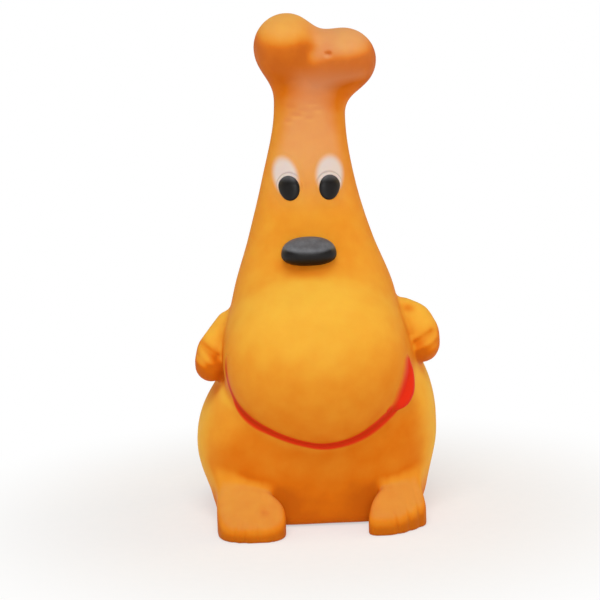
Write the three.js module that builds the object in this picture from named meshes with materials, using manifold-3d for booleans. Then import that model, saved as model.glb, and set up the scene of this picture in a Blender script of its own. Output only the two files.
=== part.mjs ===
// A squeaky dog toy: a seated dog cast as one hollow latex skin, whose long head ends in the knobs of a bone.
// Millimetres, +Z up. The face looks along -Y, and left and right are as seen from the front.
import * as THREE from "three";
import { mergeVertices } from "three/addons/utils/BufferGeometryUtils.js";
import Module from "manifold-3d";

// Skin and clearances
const wall = 2.0;
const baseThickness = 3.4;
const seatGap = 0.3; // between a piece and what it sits on
const pressGap = 0.4; // round the part of the muzzle that gives when it is pressed

// Trunk, from the base to the crown: each section's rise above the last, its half sizes and its centre
const trunk = {
  base: { rise: 0, halfWidth: 32.0, halfDepth: 31.0, x: 0.0, y: 0.5 },
  seat: { rise: 14, halfWidth: 34.5, halfDepth: 31.0, x: 0.0, y: 0.5 },
  belly: { rise: 26, halfWidth: 34.5, halfDepth: 31.5, x: 0.0, y: 0.0 },
  chest: { rise: 22, halfWidth: 32.0, halfDepth: 29.5, x: -0.5, y: 0.0 },
  shoulder: { rise: 18, halfWidth: 28.5, halfDepth: 26.0, x: -0.4, y: 0.5 },
  cheek: { rise: 18, halfWidth: 22.4, halfDepth: 21.0, x: -0.8, y: 1.0 },
  brow: { rise: 20, halfWidth: 16.8, halfDepth: 16.0, x: -1.0, y: 1.5 },
  neck: { rise: 22, halfWidth: 12.8, halfDepth: 12.6, x: 0.1, y: 1.5 },
  throat: { rise: 9, halfWidth: 14.7, halfDepth: 12.9, x: 2.0, y: 1.2 },
  crown: { rise: 10, halfWidth: 18.4, halfDepth: 13.6, x: 2.6, y: 0.9 },
  saddle: { rise: 11.5, halfWidth: 7.0, halfDepth: 6.5, x: 3.0, y: 0.6 },
};

// Two uneven knobs of the bone end: place from the crown's centre, radii and lean
const knobForward = 1.4;
const knobLeft = { x: -10.2, rise: 6.8, radii: [11.2, 15.6, 11.6], lean: 25 };
const knobRight = { x: 9.9, rise: 1.5, radii: [11.6, 15.2, 11.2], lean: 0 };

// Round muzzle
const muzzleHalfWidth = 33.2;
const muzzleHalfDepth = 29.5;
const muzzleHalfHeight = 32.2;
const muzzleForward = 15.5; // its centre in front of the chest's
const muzzleDrop = 5.0; // its centre below the chest section
const pressSideInset = 3.2; // rim of the pressed part, inside the muzzle's outline
const pressEndInset = 7.0;

// Haunches and shins, left and right
const haunchSink = [3.7, 5.0]; // centre inside the belly's side
const haunchHeight = [27.0, 32.5];
const haunchRadii = [[13.6, 23.0, 21.5], [12.8, 23.0, 24.5]];
const haunchBack = 1.0;
const haunchLean = 4;
const shinTopSink = [2.0, 3.5]; // inside the belly's side
const shinTopHeight = 25;
const shinTopBack = 22.5; // behind the base's front edge
const shinTopRadius = [10.2, 9.5];
const shinFootInset = [3.0, 4.5]; // inside the base's side
const shinFootHeight = 8;
const shinFootBack = 6.5;
const shinFootRadius = [8.0, 7.5];

// Soles: corners in plan, out from the base's side and ahead of its front edge, and how round they are
const soles = [
  [
    { out: 4.8, ahead: -19.5, round: 4 },
    { out: 5.6, ahead: 16.8, round: 10 },
    { out: -19.2, ahead: 19.1, round: 10 },
    { out: -18.4, ahead: 4.5, round: 4 },
  ],
  [
    { out: 2.5, ahead: -19.5, round: 4 },
    { out: -16.8, ahead: 5.0, round: 4 },
    { out: -19.2, ahead: 15.5, round: 4 },
    { out: -7.2, ahead: 15.1, round: 12 },
    { out: 3.8, ahead: 4.5, round: 8 },
  ],
];
const soleLeastRound = 0.3;

// Tops of the feet: they slope up and back from the middle of the toes, and fall off to both sides
const toeMiddle = [{ out: -7.0, ahead: 18.0 }, { out: -10.5, ahead: 15.0 }];
const toeHeight = [4.1, 5.1];
const footSlope = [0.53, 0.57];
const footTurn = [-5, 8];
const footCrown = 0.01;
const footEdge = 2.4; // rounding of the upper edge
const footInnerRing = 0.5; // share of the way in where the top is followed once more
const toeGrooves = [
  [{ across: -6.8, back: 7 }, { across: -3.6, back: 7 }, { across: 1.6, back: 7 }],
  [{ across: 3.2, back: 8 }, { across: 7.7, back: 10 }, { across: 11.9, back: 13 }],
];
const grooveRadius = 1.2;
const grooveDepth = 0.5;
const grooveAhead = 6; // it runs out past the toes

// Arms with curled paws: place out from the trunk's side, forward and above or below the chest section
const armLift = [0.0, 3.3]; // left and right, the right arm is held higher
const armRoot = { out: -0.2, y: -1.0, rise: 4.9, radius: [5.4, 6.7] };
const armElbow = { out: 4.6, y: -5.0, rise: -2.2, radius: [5.7, 6.4] };
const paw = { out: 4.9, y: -8.0, rise: -7.3, radii: [5.9, 7.2, 6.0] };
const fingerCount = 3;
const fingerRadii = [5.0, 3.0, 2.3];
const fingerProud = 0.5; // beyond the paw's front
const fingerPitch = 4.0;
const fingerSlope = 35;

// Eyes: white ovals under domed pupils, left and right
const eyeX = [-7.8, 6.9];
const eyeHalfWidth = [4.5, 5.1];
const eyeLean = [-8, 0];
const pupilX = [-7.1, 6.6];
const eyeRise = 2.4; // above the brow section
const eyeHalfHeight = 8.3;
const paintThickness = 0.6;
const pupilDrop = 3.2; // below the white's centre
const pupilHalfWidth = 3.7;
const pupilHalfHeight = 4.4;
const pupilDome = 2.2;

// Nose, smile and tongue
const noseX = -1.6;
const noseDrop = 2.4; // below the cheek section
const noseRadii = [9.7, 5.4, 5.2];
const noseSquareness = 2.4;
const smileRise = 3.5; // lowest point above the muzzle's lower edge
const smileStart = 173; // degrees round the muzzle, from the viewer's right
const smileEnd = 322;
const smileSteps = 26;
const smileSides = 8;
const smileThin = 0.7; // half width at the ends and in the middle
const smileThick = 1.25;
const tonguePastSmile = 20; // degrees beyond the end of the smile
const tongueRadii = [3.4, 4.0, 9.4];
const tongueLean = -8;
const tongueSquareness = 2.2;

// Squeaker: a flanged cup snapped into the base, with a reed between two halves of a plug, under a lid
const squeakerBack = 1.0; // its axis behind the middle of the base
const squeakerFlangeRadius = 14.0;
const squeakerFlange = 1.2;
const squeakerLift = 0.5; // underside above the floor
const squeakerNeckRadius = 11.2;
const squeakerBead = 1.4; // snap bead, out from the neck
const squeakerBeadHeight = 1.6;
const squeakerWall = 1.2;
const squeakerHeight = 16.0;
const airHoleRadius = 2.4;
const plugRadius = 3.8;
const plugHeight = 12.4;
const clampHeight = 5.0;
const socketWall = 1.3;
const reedWidth = 5.0;
const reedThickness = 0.4;
const reedRoot = 2.4; // length held below the clamp's top edge
const reedFree = 7.0; // length above it
const reedCurl = 0.6; // how far the tip stands away from the plug
const channelWidth = 3.0;
const channelDepth = 2.0;
const channelEnd = 1.4; // closed end below the plug's top
const lidSkirt = 4.0;
const lidHoleRadius = 1.3;
const lidHoleRing = 5.6;
const lidHoles = 6;

// Facets round each form, and how much coarser the hollow is
const trunkSides = 36;
const trunkRows = 20;
const muzzleSides = 36;
const limbSides = 18;
const pawSides = 12;
const digitSides = 10;
const grooveSides = 8;
const soleSteps = 5; // round each corner of a sole
const eyeSides = 20;
const turnedSides = 24;
const holeSides = 12;
const reedSteps = 6;
const rowsPerSide = 0.6; // rows of a blob to each of its sides
const hollowShare = 0.5;

// How far a cut runs past the face it opens, and a size beyond the whole toy
const through = 1;
const beyond = 200;

const latexOrange = new THREE.MeshStandardMaterial({ color: 0xe8992c, roughness: 0.55, metalness: 0 });
const whitePaint = new THREE.MeshStandardMaterial({ color: 0xe9e2da, roughness: 0.5, metalness: 0 });
const blackPaint = new THREE.MeshStandardMaterial({ color: 0x1f1f22, roughness: 0.35, metalness: 0 });
const redPaint = new THREE.MeshStandardMaterial({ color: 0xcf2f1a, roughness: 0.45, metalness: 0 });
const whitePlastic = new THREE.MeshStandardMaterial({ color: 0xe6e6e0, roughness: 0.4, metalness: 0 });
const reedFilm = new THREE.MeshStandardMaterial({ color: 0xd8d2c0, roughness: 0.3, metalness: 0 });

const wasm = await Module();
wasm.setup();
const radians = THREE.MathUtils.degToRad;

// Solids and geometries

function solidOf(geometry) {
  const bare = new THREE.BufferGeometry();
  bare.setAttribute("position", geometry.getAttribute("position"));
  bare.setIndex(geometry.index);
  const merged = mergeVertices(bare, 1e-4);
  const corners = merged.index.array;
  const triVerts = [];
  for (let i = 0; i < corners.length; i += 3) {
    const [a, b, c] = corners.slice(i, i + 3);
    if (a !== b && b !== c && c !== a) triVerts.push(a, b, c);
  }
  const mesh = new wasm.Mesh({
    numProp: 3,
    vertProperties: merged.getAttribute("position").array,
    triVerts: new Uint32Array(triVerts),
  });
  return new wasm.Manifold(mesh);
}

function geometryOf(solid) {
  const mesh = solid.getMesh();
  const geometry = new THREE.BufferGeometry();
  geometry.setAttribute("position", new THREE.BufferAttribute(mesh.vertProperties, 3));
  geometry.setIndex(new THREE.BufferAttribute(mesh.triVerts, 1));
  return geometry;
}

function placed(geometry, position, turn = [0, 0, 0]) {
  const euler = new THREE.Euler(...turn.map(radians));
  const rotation = new THREE.Quaternion().setFromEuler(euler);
  return geometry.applyMatrix4(
    new THREE.Matrix4().compose(new THREE.Vector3(...position), rotation, new THREE.Vector3(1, 1, 1)),
  );
}

const joined = (solids) => solids.reduce((whole, solid) => whole.add(solid));

// The largest closed surface of a solid, so that a pocket shut in between two forms is filled.
const outermost = (solid) => solid.decompose().reduce((a, b) => (b.volume() > a.volume() ? b : a));

// Skins rings of equally many points into one closed body, from the first ring to the last.
function loft(rings) {
  const around = rings[0].length;
  const middle = (ring) => ring.reduce((sum, p) => sum.add(p), new THREE.Vector3()).divideScalar(around);
  const points = [...rings.flat(), middle(rings[0]), middle(rings.at(-1))];
  const index = [];
  const first = points.length - 2;
  const last = points.length - 1;
  const top = (rings.length - 1) * around;
  for (let j = 0; j < around; j++) {
    const k = (j + 1) % around;
    for (let row = 0; row < top; row += around) {
      index.push(row + j, row + k, row + around + k);
      index.push(row + j, row + around + k, row + around + j);
    }
    index.push(first, k, j);
    index.push(last, top + j, top + k);
  }
  const geometry = new THREE.BufferGeometry().setFromPoints(points);
  geometry.setIndex(index);
  return geometry;
}

// An ellipsoid, or with a squareness above 2 a pebble with fuller corners.
function blob({ centre, radii, squareness = 2, turn }, inset, detail) {
  const sphere = new THREE.SphereGeometry(1, detail, Math.round(detail * rowsPerSide));
  const positions = sphere.getAttribute("position");
  const point = new THREE.Vector3();
  for (let i = 0; i < positions.count; i++) {
    point.fromBufferAttribute(positions, i);
    const sum = point.toArray().reduce((total, v) => total + Math.abs(v) ** squareness, 0);
    point.divideScalar(sum ** (1 / squareness));
    positions.setXYZ(i, ...point.toArray());
  }
  sphere.scale(...radii.map((radius) => radius - inset));
  return solidOf(placed(sphere, centre, turn));
}

// A limb with two round ends of different radius, turned about the line between their centres.
function limb({ from, to, fromRadius, toRadius }, inset, detail) {
  const start = new THREE.Vector3(...from);
  const axis = new THREE.Vector3(...to).sub(start);
  const length = axis.length();
  const flank = Math.asin((fromRadius - toRadius) / length);
  const arcSteps = Math.ceil(detail / 4);
  const profile = [];
  for (let i = 0; i <= arcSteps; i++) {
    const angle = THREE.MathUtils.lerp(-Math.PI / 2, flank, i / arcSteps);
    const radius = fromRadius - inset;
    profile.push(new THREE.Vector2(radius * Math.cos(angle), radius * Math.sin(angle)));
  }
  for (let i = 0; i <= arcSteps; i++) {
    const angle = THREE.MathUtils.lerp(flank, Math.PI / 2, i / arcSteps);
    const radius = toRadius - inset;
    profile.push(new THREE.Vector2(radius * Math.cos(angle), length + radius * Math.sin(angle)));
  }
  profile[0].x = 0;
  profile.at(-1).x = 0;
  const upright = new THREE.Vector3(0, 1, 0);
  const tilt = new THREE.Quaternion().setFromUnitVectors(upright, axis.normalize());
  const geometry = new THREE.LatheGeometry(profile, detail).applyQuaternion(tilt);
  return solidOf(geometry.translate(...from));
}

// A closed profile of [radius, height] pairs turned about the Z axis.
function turned(profile, detail = turnedSides) {
  const points = profile.map(([radius, height]) => new THREE.Vector2(radius, height));
  return solidOf(new THREE.LatheGeometry(points, detail).rotateX(Math.PI / 2));
}

function box(low, high) {
  const size = high.map((v, i) => v - low[i]);
  const centre = high.map((v, i) => (v + low[i]) / 2);
  return solidOf(new THREE.BoxGeometry(...size).translate(...centre));
}

// A cylinder of oval section along Y, between two depths.
function ovalPrism(x, z, halfWidth, halfHeight, front, back, lean, detail) {
  const outline = new THREE.Shape();
  outline.absellipse(0, 0, halfWidth, halfHeight, 0, 2 * Math.PI, false, radians(lean));
  const prism = new THREE.ExtrudeGeometry(outline, {
    depth: back - front,
    bevelEnabled: false,
    curveSegments: detail,
  });
  return solidOf(prism.rotateX(Math.PI / 2).translate(x, back, z));
}

// Trunk surface

let climbed = 0;
for (const section of Object.values(trunk)) {
  climbed += section.rise;
  section.height = climbed;
}
const sections = Object.values(trunk);
const trunkCurve = new THREE.CubicInterpolant(
  sections.map((s) => s.height),
  sections.flatMap((s) => [s.halfWidth, s.halfDepth, s.x, s.y]),
  4,
);

function trunkAt(height) {
  const [halfWidth, halfDepth, x, y] = trunkCurve.evaluate(height);
  return { halfWidth, halfDepth, x, y };
}

const muzzleX = trunk.chest.x;
const muzzleY = trunk.chest.y - muzzleForward;
const muzzleZ = trunk.chest.height - muzzleDrop;

// Depth of the foremost surface of the trunk or the muzzle at a place on the face.
function faceAt(x, z) {
  const at = trunkAt(z);
  const acrossTrunk = (x - at.x) / at.halfWidth;
  const trunkFront = at.y - at.halfDepth * Math.sqrt(Math.max(0, 1 - acrossTrunk ** 2));
  const across = ((x - muzzleX) / muzzleHalfWidth) ** 2 + ((z - muzzleZ) / muzzleHalfHeight) ** 2;
  const muzzleFront = muzzleY - muzzleHalfDepth * Math.sqrt(Math.max(0, 1 - across));
  return Math.min(trunkFront, across < 1 ? muzzleFront : trunkFront);
}

function trunkSolid(inset, share) {
  const rings = [];
  const count = Math.round(trunkRows * share);
  const around = Math.round(trunkSides * share);
  for (let row = 0; row <= count; row++) {
    const z = THREE.MathUtils.lerp(trunk.base.height, trunk.saddle.height - inset, row / count);
    const { halfWidth, halfDepth, x, y } = trunkAt(z);
    const ring = [];
    for (let j = 0; j < around; j++) {
      const angle = (2 * Math.PI * j) / around;
      const across = (halfWidth - inset) * Math.cos(angle);
      const along = (halfDepth - inset) * Math.sin(angle);
      ring.push(new THREE.Vector3(x + across, y + along, z));
    }
    rings.push(ring);
  }
  return solidOf(loft(rings));
}

// The figure: every form of the casting, grown or shrunk alike

function knobs() {
  const { x, y, height } = trunk.crown;
  return [knobLeft, knobRight].map((knob) => ({
    centre: [x + knob.x, y - knobForward, height + knob.rise],
    radii: knob.radii,
    turn: [0, knob.lean, 0],
  }));
}

const sides = [-1, 1];
const muzzle = {
  centre: [muzzleX, muzzleY, muzzleZ],
  radii: [muzzleHalfWidth, muzzleHalfDepth, muzzleHalfHeight],
};
const haunches = sides.map((side, i) => ({
  centre: [side * (trunk.belly.halfWidth - haunchSink[i]), trunk.belly.y + haunchBack, haunchHeight[i]],
  radii: haunchRadii[i],
  turn: [0, -side * haunchLean, 0],
}));
const baseFront = trunk.base.y - trunk.base.halfDepth;
const shins = sides.map((side, i) => ({
  from: [side * (trunk.belly.halfWidth - shinTopSink[i]), baseFront + shinTopBack, shinTopHeight],
  to: [side * (trunk.base.halfWidth - shinFootInset[i]), baseFront + shinFootBack, shinFootHeight],
  fromRadius: shinTopRadius[i],
  toRadius: shinFootRadius[i],
}));

const onFloor = (foot, { out, ahead }) =>
  new THREE.Vector2(sides[foot] * (trunk.base.halfWidth + out), baseFront - ahead);

// A place on a foot's top, across from the middle of the toes and back from them.
function onFoot(foot, across, back) {
  const place = new THREE.Vector2(across, back).rotateAround(new THREE.Vector2(), radians(footTurn[foot]));
  place.add(onFloor(foot, toeMiddle[foot]));
  const height = toeHeight[foot] + footSlope[foot] * back - footCrown * across ** 2;
  return new THREE.Vector3(place.x, place.y, height);
}

function footTop(foot, x, y) {
  const fromToes = new THREE.Vector2(x, y).sub(onFloor(foot, toeMiddle[foot]));
  fromToes.rotateAround(new THREE.Vector2(), -radians(footTurn[foot]));
  return onFoot(foot, fromToes.x, fromToes.y).z;
}

// Places round a sole moved in by an inset.
function soleRing(foot, inset, detail) {
  const corners = soles[foot].map((corner) => onFloor(foot, corner));
  return corners.flatMap((corner, n) => {
    const before = corners.at(n - 1).clone().sub(corner).normalize();
    const after = corners[(n + 1) % corners.length].clone().sub(corner).normalize();
    const half = before.angleTo(after) / 2;
    const inward = before.clone().add(after).normalize();
    const place = corner.clone().addScaledVector(inward, inset / Math.sin(half));
    const reach = Math.max(soles[foot][n].round - inset, soleLeastRound) / Math.tan(half);
    const start = place.clone().addScaledVector(before, reach);
    const end = place.clone().addScaledVector(after, reach);
    return new THREE.QuadraticBezierCurve(start, place, end).getPoints(detail);
  });
}

// A foot, from below the floor up to its sloping top with a rounded edge.
function footSolid(foot, inset, detail) {
  const sunk = inset * Math.hypot(1, footSlope[foot]);
  const raised = (places, drop) =>
    places.map(({ x, y }) => new THREE.Vector3(x, y, footTop(foot, x, y) - sunk - drop));
  const side = soleRing(foot, inset, detail);
  const bevel = 1 - Math.SQRT1_2;
  const rim = soleRing(foot, inset + footEdge, detail);
  const centre = rim.reduce((sum, p) => sum.add(p), new THREE.Vector2()).divideScalar(rim.length);
  return solidOf(loft([
    side.map(({ x, y }) => new THREE.Vector3(x, y, -beyond)),
    raised(side, footEdge),
    raised(soleRing(foot, inset + footEdge * bevel, detail), footEdge * bevel),
    raised(rim, 0),
    raised(rim.map((place) => place.clone().lerp(centre, footInnerRing)), 0),
  ]));
}

// Grooves that part the toes, along the tops of the feet.
const grooves = toeGrooves.flatMap((across, foot) =>
  across.map((groove) => {
    const lift = new THREE.Vector3(0, 0, grooveRadius - grooveDepth);
    const start = onFoot(foot, groove.across, -grooveAhead).add(lift);
    const end = onFoot(foot, groove.across, groove.back).add(lift);
    const radii = { fromRadius: grooveRadius, toRadius: grooveRadius };
    return limb({ from: start.toArray(), to: end.toArray(), ...radii }, 0, grooveSides);
  }),
);

function besideTrunk(side, lift, { out, y, rise }) {
  const height = trunk.chest.height + rise;
  const { halfWidth } = trunkAt(height);
  return [side * (halfWidth + out), y, height + lift];
}

const arms = sides.map((side, i) => ({
  from: besideTrunk(side, armLift[i], armRoot),
  to: besideTrunk(side, armLift[i], armElbow),
  fromRadius: armRoot.radius[i],
  toRadius: armElbow.radius[i],
}));
const paws = sides.map((side, i) => ({
  centre: besideTrunk(side, armLift[i], paw),
  radii: paw.radii,
}));
const fingers = paws.flatMap(({ centre, radii }, i) =>
  Array.from({ length: fingerCount }, (_, n) => {
    const rise = ((fingerCount - 1) / 2 - n) * fingerPitch;
    const reach = radii[1] * Math.sqrt(1 - (rise / radii[2]) ** 2);
    return {
      centre: [centre[0], centre[1] - reach - fingerProud + fingerRadii[1], centre[2] + rise],
      radii: fingerRadii,
      turn: [0, -sides[i] * fingerSlope, 0],
    };
  }),
);

const underside = (height) => box([-beyond, -beyond, -beyond], [beyond, beyond, height]);

// The main forms, inset all round by a depth and faceted by a share of the full count.
function mainForms(inset, share) {
  const sized = (forms, make, around) => forms.map((form) => make(form, inset, Math.round(around * share)));
  return joined([
    trunkSolid(inset, share),
    ...sized([muzzle], blob, muzzleSides),
    ...sized([...knobs(), ...haunches], blob, limbSides),
    ...sized(sides.map((_, foot) => foot), footSolid, soleSteps),
    ...sized(paws, blob, pawSides),
    ...sized([...arms, ...shins], limb, pawSides),
  ]);
}

// The whole outside, grown by a clearance.
function figure(grown) {
  const digits = fingers.map((form) => blob(form, -grown, digitSides));
  return outermost(joined([mainForms(-grown, 1), ...digits]));
}

const hollow = () => mainForms(wall, hollowShare).subtract(underside(baseThickness));

const pressPrism = (grown) =>
  ovalPrism(
    muzzleX,
    muzzleZ,
    muzzleHalfWidth - pressSideInset + grown,
    muzzleHalfHeight - pressEndInset + grown,
    muzzleY - 2 * muzzleHalfDepth,
    muzzleY,
    0,
    muzzleSides,
  );

// Heights of the squeaker's seat in the base
const flangeTop = squeakerLift + squeakerFlange;
const recessTop = flangeTop + seatGap;
const beadBottom = baseThickness + seatGap;

function squeakerSeat() {
  const recess = squeakerFlangeRadius + seatGap;
  const hole = squeakerNeckRadius + seatGap;
  const above = baseThickness + through;
  return turned([
    [0, -through],
    [recess, -through],
    [recess, recessTop],
    [hole, recessTop],
    [hole, above],
    [0, above],
  ]);
}

const skin = figure(0)
  .subtract(hollow())
  .subtract(underside(0))
  .subtract(squeakerSeat().translate(trunk.base.x, squeakerBack, 0))
  .subtract(joined(grooves));
const body = skin.subtract(pressPrism(pressGap / 2));
const muzzleFront = skin.intersect(pressPrism(-pressGap / 2));

// Applied pieces, each cut by the figure grown by its seat's clearance

const seated = figure(seatGap);
const painted = figure(seatGap + paintThickness);
const paintTop = seatGap + paintThickness + seatGap;
const onPaint = figure(paintTop);

const eyeHeight = trunk.brow.height + eyeRise;

function eyeWhite(eye) {
  const { x, y, halfDepth } = trunkAt(eyeHeight);
  const front = y - 2 * halfDepth;
  const oval = ovalPrism(
    x + eyeX[eye],
    eyeHeight,
    eyeHalfWidth[eye],
    eyeHalfHeight,
    front,
    y,
    eyeLean[eye],
    eyeSides,
  );
  return painted.intersect(oval).subtract(seated);
}

function pupil(eye) {
  const height = eyeHeight - pupilDrop;
  const x = trunkAt(height).x + pupilX[eye];
  const dome = {
    centre: [x, faceAt(x, height) - paintTop, height],
    radii: [pupilHalfWidth, pupilDome, pupilHalfHeight],
    turn: [0, eyeLean[eye], 0],
  };
  return blob(dome, 0, eyeSides).subtract(onPaint);
}

function nose() {
  const height = trunk.cheek.height - noseDrop;
  const x = trunk.cheek.x + noseX;
  const pebble = { centre: [x, faceAt(x, height), height], radii: noseRadii, squareness: noseSquareness };
  return blob(pebble, 0, eyeSides).subtract(seated);
}

// A place round the muzzle's outline, on the surface.
function roundMuzzle(angle) {
  const x = muzzleX + muzzleHalfWidth * Math.cos(radians(angle));
  const z = muzzleZ + (muzzleHalfHeight - smileRise) * Math.sin(radians(angle));
  return new THREE.Vector3(x, faceAt(x, z), z);
}

// A bead along the lower edge of the muzzle, thickest in the middle.
function smile() {
  const rings = [];
  for (let i = 0; i <= smileSteps; i++) {
    const share = i / smileSteps;
    const angle = THREE.MathUtils.lerp(smileStart, smileEnd, share);
    const centre = roundMuzzle(angle);
    const outward = new THREE.Vector3(Math.cos(radians(angle)), 0, Math.sin(radians(angle)));
    const radius = THREE.MathUtils.lerp(smileThin, smileThick, Math.sin(Math.PI * share)) + seatGap;
    const ring = [];
    for (let j = 0; j < smileSides; j++) {
      const turn = (2 * Math.PI * j) / smileSides;
      const point = centre.clone().addScaledVector(outward, radius * Math.cos(turn));
      ring.push(point.add(new THREE.Vector3(0, radius * Math.sin(turn), 0)));
    }
    rings.push(ring);
  }
  return solidOf(loft(rings)).subtract(seated).subtract(pressPrism(seatGap));
}

function tongue() {
  const place = roundMuzzle(smileEnd + tonguePastSmile);
  const bump = {
    centre: place.toArray(),
    radii: tongueRadii,
    squareness: tongueSquareness,
    turn: [0, tongueLean, 0],
  };
  return blob(bump, 0, eyeSides).subtract(seated).subtract(pressPrism(seatGap)).subtract(smile());
}

// Squeaker pieces, on the squeaker's own axis

const plugBottom = flangeTop + seatGap;
const plugTop = plugBottom + plugHeight;
const clampTop = plugBottom + clampHeight;
const plugFace = reedThickness / 2 + seatGap;
const cupBore = squeakerNeckRadius - squeakerWall;
const socketBore = plugRadius + seatGap;

function squeakerCup() {
  const bead = squeakerNeckRadius + squeakerBead;
  const socket = socketBore + socketWall;
  return turned([
    [airHoleRadius, squeakerLift],
    [squeakerFlangeRadius, squeakerLift],
    [squeakerFlangeRadius, flangeTop],
    [squeakerNeckRadius, flangeTop],
    [squeakerNeckRadius, beadBottom],
    [bead, beadBottom],
    [bead, beadBottom + squeakerBeadHeight / 2],
    [squeakerNeckRadius, beadBottom + squeakerBeadHeight],
    [squeakerNeckRadius, squeakerHeight],
    [cupBore, squeakerHeight],
    [cupBore, flangeTop],
    [socket, flangeTop],
    [socket, clampTop],
    [socketBore, clampTop],
    [socketBore, flangeTop],
    [airHoleRadius, flangeTop],
    [airHoleRadius, squeakerLift],
  ]);
}

function squeakerLid() {
  const inside = squeakerNeckRadius + seatGap;
  const outside = inside + squeakerWall;
  const under = squeakerHeight + seatGap;
  const top = under + squeakerWall;
  const shell = turned([
    [0, under],
    [inside, under],
    [inside, under - lidSkirt],
    [outside, under - lidSkirt],
    [outside, top],
    [0, top],
  ]);
  const low = under - through;
  const high = top + through;
  const hole = () => turned([[0, low], [lidHoleRadius, low], [lidHoleRadius, high], [0, high]], holeSides);
  const ring = Array.from({ length: lidHoles }, (_, n) => {
    const angle = (2 * Math.PI * n) / lidHoles;
    return hole().translate(lidHoleRing * Math.cos(angle), lidHoleRing * Math.sin(angle), 0);
  });
  return shell.subtract(joined([hole(), ...ring]));
}

// Half of the round plug, in front of the reed or behind it.
function plugHalf(side, top) {
  const round = turned([[0, plugBottom], [plugRadius, plugBottom], [plugRadius, top], [0, top]]);
  const near = side * plugFace;
  const past = plugRadius + through;
  const far = side * past;
  const kept = box([-past, Math.min(near, far), 0], [past, Math.max(near, far), top + through]);
  return round.intersect(kept);
}

function reedHolder() {
  const channel = box(
    [-channelWidth / 2, -plugFace - channelDepth, plugBottom - through],
    [channelWidth / 2, 0, plugTop - channelEnd],
  );
  return plugHalf(-1, plugTop).subtract(channel);
}

const reedClamp = () => plugHalf(1, clampTop);

// A thin strip, straight where it is held and curling gently away from the plug above.
function reed() {
  const back = [];
  for (let i = 0; i <= reedSteps; i++) {
    const share = i / reedSteps;
    back.push([reedCurl * share ** 2, clampTop + reedFree * share]);
  }
  back.unshift([0, clampTop - reedRoot]);
  const half = reedThickness / 2;
  const outline = new THREE.Shape([
    ...back.map(([y, z]) => new THREE.Vector2(y - half, z)),
    ...back.reverse().map(([y, z]) => new THREE.Vector2(y + half, z)),
  ]);
  const strip = new THREE.ExtrudeGeometry(outline, { depth: reedWidth, bevelEnabled: false });
  strip.translate(0, 0, -reedWidth / 2);
  strip.applyMatrix4(new THREE.Matrix4().makeBasis(
    new THREE.Vector3(0, 1, 0),
    new THREE.Vector3(0, 0, 1),
    new THREE.Vector3(1, 0, 0),
  ));
  return solidOf(strip);
}

// Scene graph

function named(name, solid, material) {
  const mesh = new THREE.Mesh(geometryOf(solid), material);
  mesh.name = name;
  return mesh;
}

const toy = new THREE.Group();
toy.add(named("latex_body", body, latexOrange));
toy.add(named("muzzle_front", muzzleFront, latexOrange));
["left", "right"].forEach((side, eye) => {
  toy.add(named(`eye_white_${side}`, eyeWhite(eye), whitePaint));
  toy.add(named(`pupil_${side}`, pupil(eye), blackPaint));
});
toy.add(named("nose", nose(), blackPaint));
toy.add(named("smile_line", smile(), redPaint));
toy.add(named("tongue", tongue(), redPaint));

const squeaker = new THREE.Group();
squeaker.position.set(trunk.base.x, squeakerBack, 0);
squeaker.add(named("squeaker_cup", squeakerCup(), whitePlastic));
squeaker.add(named("squeaker_lid", squeakerLid(), whitePlastic));
squeaker.add(named("reed_holder", reedHolder(), whitePlastic));
squeaker.add(named("reed_clamp", reedClamp(), whitePlastic));
squeaker.add(named("reed", reed(), reedFilm));
toy.add(squeaker);

// The origin is under the middle of the toy, on the floor.
const middle = new THREE.Box3().setFromObject(toy).getCenter(new THREE.Vector3());
toy.position.set(-middle.x, -middle.y, 0);

export default toy;
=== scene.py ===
import math
import bpy
import numpy as np
from mathutils import Matrix, Vector


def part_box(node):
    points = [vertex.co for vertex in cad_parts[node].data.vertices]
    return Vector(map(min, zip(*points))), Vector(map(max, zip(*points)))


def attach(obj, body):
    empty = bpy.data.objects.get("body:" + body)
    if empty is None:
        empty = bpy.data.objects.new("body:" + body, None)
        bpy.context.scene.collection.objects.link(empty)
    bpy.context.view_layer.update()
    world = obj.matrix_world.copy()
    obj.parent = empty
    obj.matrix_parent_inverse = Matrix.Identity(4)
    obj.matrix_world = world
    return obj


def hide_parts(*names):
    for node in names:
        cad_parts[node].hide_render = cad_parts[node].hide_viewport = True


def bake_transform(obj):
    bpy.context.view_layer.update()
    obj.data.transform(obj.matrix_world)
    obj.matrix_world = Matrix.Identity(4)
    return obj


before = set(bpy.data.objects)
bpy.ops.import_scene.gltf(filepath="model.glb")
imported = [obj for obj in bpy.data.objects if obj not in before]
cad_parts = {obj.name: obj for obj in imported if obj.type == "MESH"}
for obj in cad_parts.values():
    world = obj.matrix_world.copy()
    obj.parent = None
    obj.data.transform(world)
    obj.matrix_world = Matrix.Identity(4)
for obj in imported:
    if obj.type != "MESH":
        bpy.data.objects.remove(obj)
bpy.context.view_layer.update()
print("frame loaded:", len(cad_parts), "nodes")

# Shapes are worked out in millimetres from the floor under the trunk's axis:
# x to the viewer's right, y to the back, z up. The squeaker sits 1 mm behind that axis.
squeakerBehindAxis = 1.0
cupLow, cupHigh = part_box("squeaker_cup")
toyAxis = np.array([(cupLow.x + cupHigh.x) * 500, (cupLow.y + cupHigh.y) * 500 - squeakerBehindAxis, 0.0])


def toFrame(points):
    return (np.asarray(points, float) + toyAxis) / 1000


# forms and how they join

def meld(a, b, width):
    # two forms flow into each other over this width
    share = np.clip(0.5 + 0.5 * (b - a) / width, 0, 1)
    return b + (a - b) * share - width * share * (1 - share)


def pare(a, b, width):
    # what is left of a where b is taken away
    return -meld(-a, b, width)


def smoothStep(low, high, value):
    t = np.clip((value - low) / (high - low), 0, 1)
    return t * t * (3 - 2 * t)


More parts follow.
